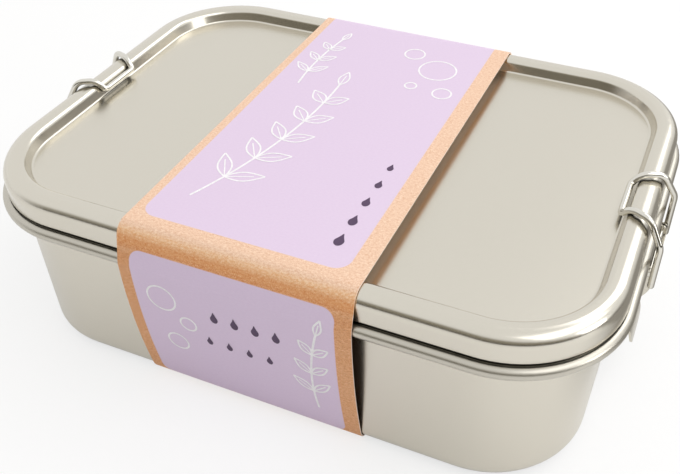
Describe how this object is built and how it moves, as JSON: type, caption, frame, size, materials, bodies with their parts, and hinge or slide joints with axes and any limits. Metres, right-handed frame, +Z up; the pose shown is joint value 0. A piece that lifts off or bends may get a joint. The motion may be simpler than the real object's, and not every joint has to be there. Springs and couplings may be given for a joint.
{
  "type": "wipe box",
  "caption": "Oblong steel clip box with a sunk lid, wire-bail latches on the ends and a slip-on card sleeve, holding folded cloth wipes and a lotion bottle.",
  "frame": {"origin": "middle of the footprint, on the underside of the sleeve that the box stands on", "axes": "+X along the long side towards one latch, +Y to the back long side, +Z up"},
  "size_m": [0.2032, 0.1442, 0.0643],
  "materials": {
    "satin_steel": "satin",
    "bright_wire": "polished",
    "seal": "matte",
    "card": "uncoated",
    "cloth": "woven",
    "bottle": "satin",
    "closure": "gloss"
  },
  "bodies": {
    "box": {"tray": "satin_steel", "latch_bracket_left": "satin_steel", "latch_bracket_right": "satin_steel", "lever_pin_left": "bright_wire", "lever_pin_right": "bright_wire", "wipe_01": "cloth", "wipe_02": "cloth", "wipe_03": "cloth", "wipe_04": "cloth", "wipe_05": "cloth", "wipe_06": "cloth", "wipe_07": "cloth", "wipe_08": "cloth", "wipe_09": "cloth", "wipe_10": "cloth", "wipe_11": "cloth", "wipe_12": "cloth", "lotion_bottle": "bottle", "bottle_closure": "closure"},
    "lid": {"lid": "satin_steel", "lid_seal": "seal"},
    "sleeve": {"card_sleeve": "card"},
    "lever_left": {"latch_lever_left": "satin_steel"},
    "lever_right": {"latch_lever_right": "satin_steel"},
    "bail_left": {"wire_bail_left": "bright_wire"},
    "bail_right": {"wire_bail_right": "bright_wire"},
    "spout_cap": {"spout_cap": "closure"}
  },
  "joints": [
    {"name": "lid_lift", "type": "slide", "parent": "box", "child": "lid", "axis": [0, 0, 1], "range_m": [0, 0.085]},
    {"name": "sleeve_slide", "type": "slide", "parent": "box", "child": "sleeve", "axis": [1, 0, 0], "range_m": [0, 0.175], "deforming": ["card_sleeve"]},
    {"name": "lever_right_swing", "type": "hinge", "parent": "box", "child": "lever_right", "pos_m": [0.0994, 0, 0.0442], "axis": [0, -1, 0], "range_deg": [0, 115]},
    {"name": "lever_left_swing", "type": "hinge", "parent": "box", "child": "lever_left", "pos_m": [-0.0994, 0, 0.0442], "axis": [0, 1, 0], "range_deg": [0, 115]},
    {"name": "bail_right_swing", "type": "hinge", "parent": "lid", "child": "bail_right", "pos_m": [0.08782, 0, 0.06009], "axis": [0, -1, 0], "range_deg": [0, 92]},
    {"name": "bail_left_swing", "type": "hinge", "parent": "lid", "child": "bail_left", "pos_m": [-0.08782, 0, 0.06009], "axis": [0, 1, 0], "range_deg": [0, 92]},
    {"name": "spout_cap_pull", "type": "slide", "parent": "box", "child": "spout_cap", "axis": [1, 0, 0], "range_m": [0, 0.012]}
  ],
  "couplings": [
    {"joint": "bail_right_swing", "follows": "lever_right_swing", "ratio": 0.8},
    {"joint": "bail_left_swing", "follows": "lever_left_swing", "ratio": 0.8},
    {"joint": "sleeve_slide", "follows": "lid_lift", "ratio": 2.0588}
  ]
}
